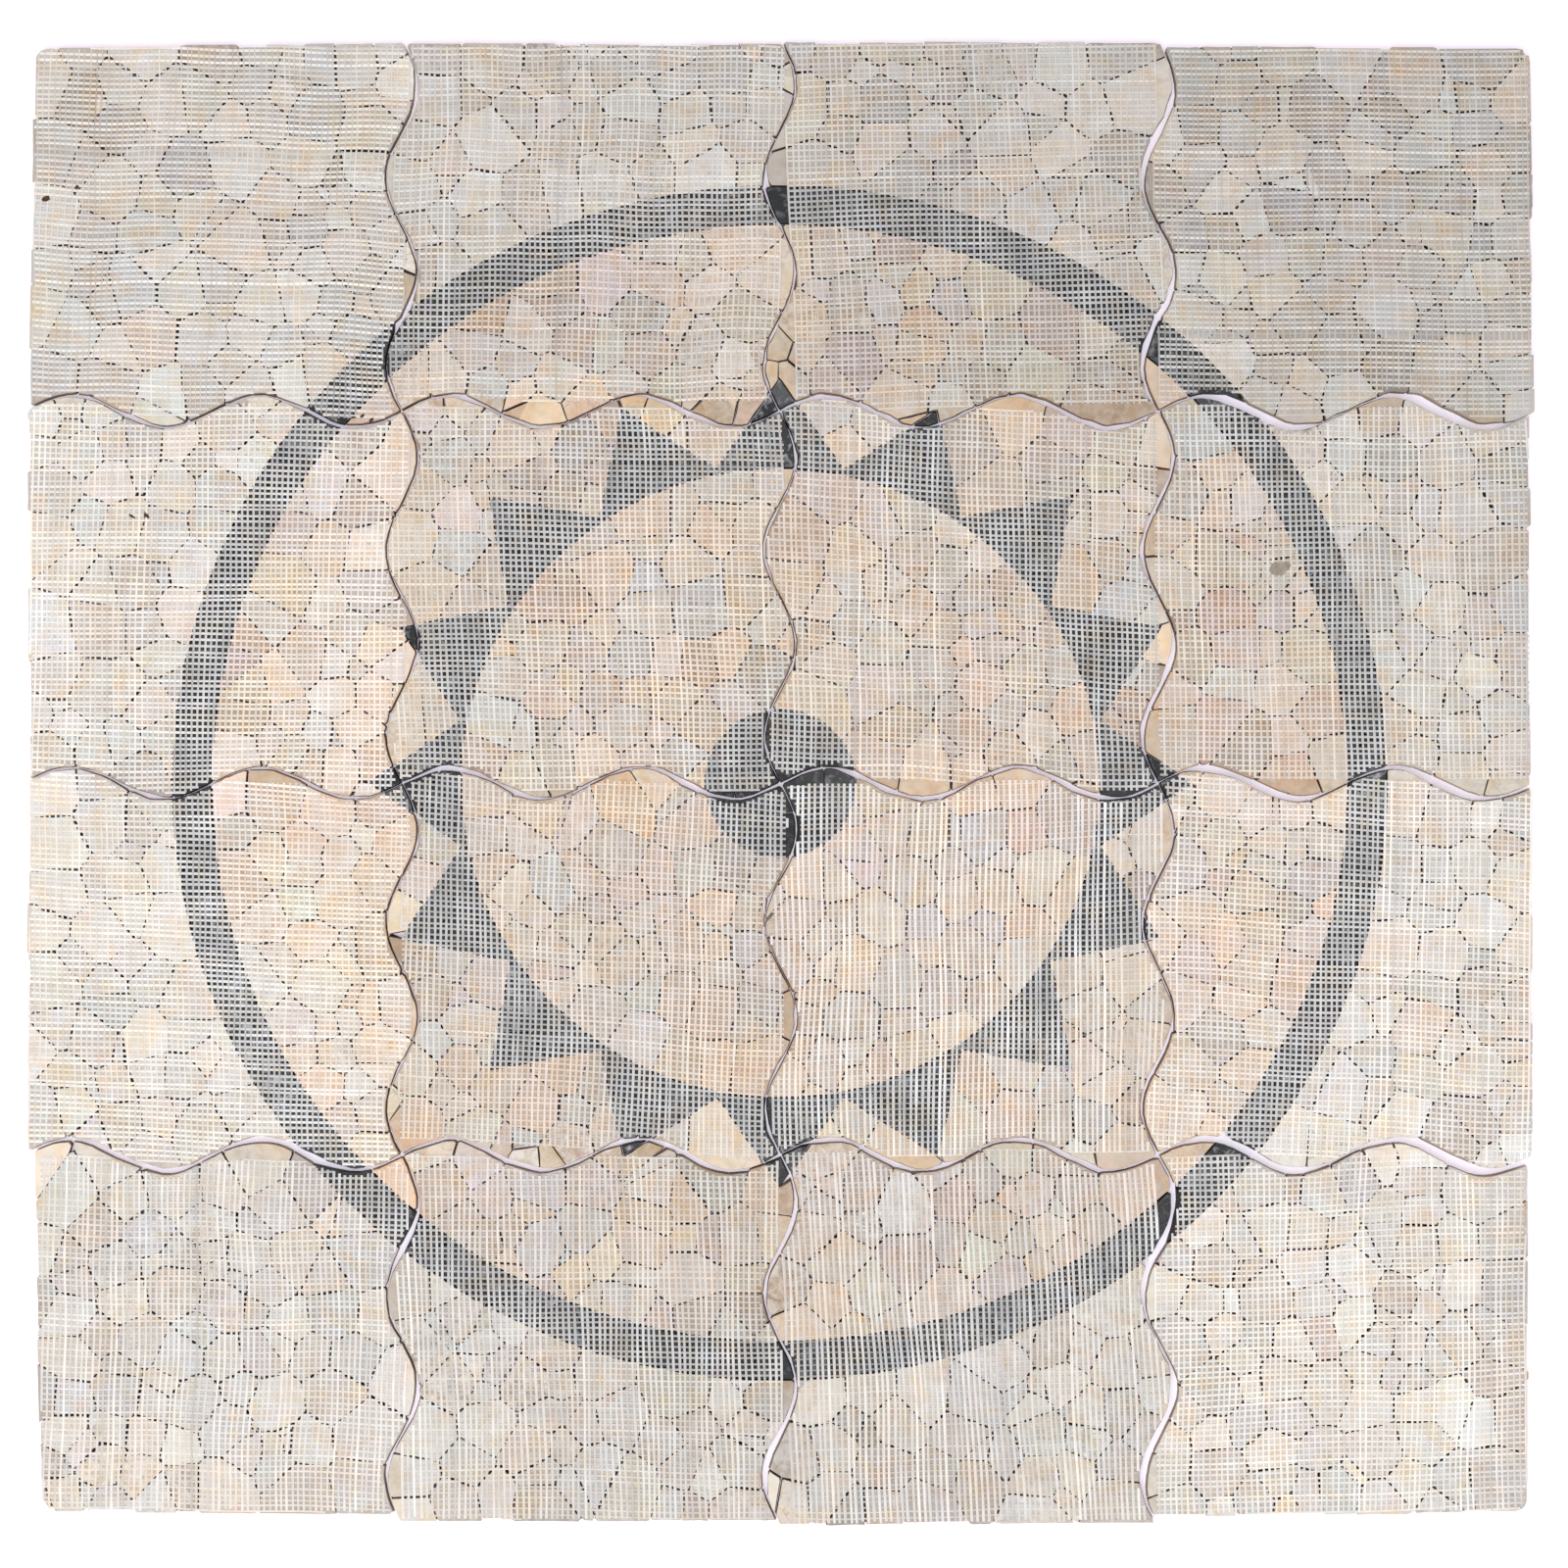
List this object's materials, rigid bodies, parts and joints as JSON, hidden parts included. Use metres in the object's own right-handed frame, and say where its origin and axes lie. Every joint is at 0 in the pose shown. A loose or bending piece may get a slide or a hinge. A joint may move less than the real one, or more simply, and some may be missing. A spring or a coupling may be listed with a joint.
{
  "type": "mosaic panel",
  "caption": "Square floor medallion of broken marble on wavy-edged mesh-backed sheets, with an inlaid dark ring, triangular rays and a centre disc, lying face down with its net up.",
  "frame": {"origin": "middle of the panel's box, on the plane of its polished face, which is down", "axes": "+Z through the thickness from the polished face to the netted back, +Y towards the first row of sheets, +X towards the last column"},
  "size_m": [1.2052, 1.187, 0.0095],
  "materials": {
    "pale_marble": "honed, sawn on the back",
    "dark_marble": "honed, sawn on the back",
    "net": "glued glass fibre"
  },
  "bodies": {
    "root": {"sheet_r1c1": "pale_marble", "sheet_r1c2": "pale_marble", "sheet_r1c3": "pale_marble", "sheet_r1c4": "pale_marble", "sheet_r2c1": "pale_marble", "sheet_r2c2": "pale_marble", "sheet_r2c3": "pale_marble", "sheet_r2c4": "pale_marble", "sheet_r3c1": "pale_marble", "sheet_r3c2": "pale_marble", "sheet_r3c3": "pale_marble", "sheet_r3c4": "pale_marble", "sheet_r4c1": "pale_marble", "sheet_r4c2": "pale_marble", "sheet_r4c3": "pale_marble", "sheet_r4c4": "pale_marble", "disc_r2c2": "dark_marble", "disc_r2c3": "dark_marble", "disc_r3c2": "dark_marble", "disc_r3c3": "dark_marble", "rays_r1c2": "dark_marble", "rays_r1c3_1": "dark_marble", "rays_r1c3_2": "dark_marble", "rays_r2c1_1": "dark_marble", "rays_r2c1_2": "dark_marble", "rays_r2c2": "dark_marble", "rays_r2c3": "dark_marble", "rays_r2c4": "dark_marble", "rays_r3c1": "dark_marble", "rays_r3c2": "dark_marble", "rays_r3c3": "dark_marble", "rays_r3c4_1": "dark_marble", "rays_r3c4_2": "dark_marble", "rays_r4c2_1": "dark_marble", "rays_r4c2_2": "dark_marble", "rays_r4c3": "dark_marble", "ring_r1c1": "dark_marble", "ring_r1c2": "dark_marble", "ring_r1c3": "dark_marble", "ring_r1c4": "dark_marble", "ring_r2c1": "dark_marble", "ring_r2c4": "dark_marble", "ring_r3c1": "dark_marble", "ring_r3c4": "dark_marble", "ring_r4c1": "dark_marble", "ring_r4c2": "dark_marble", "ring_r4c3": "dark_marble", "ring_r4c4": "dark_marble"}
  },
  "joints": []
}
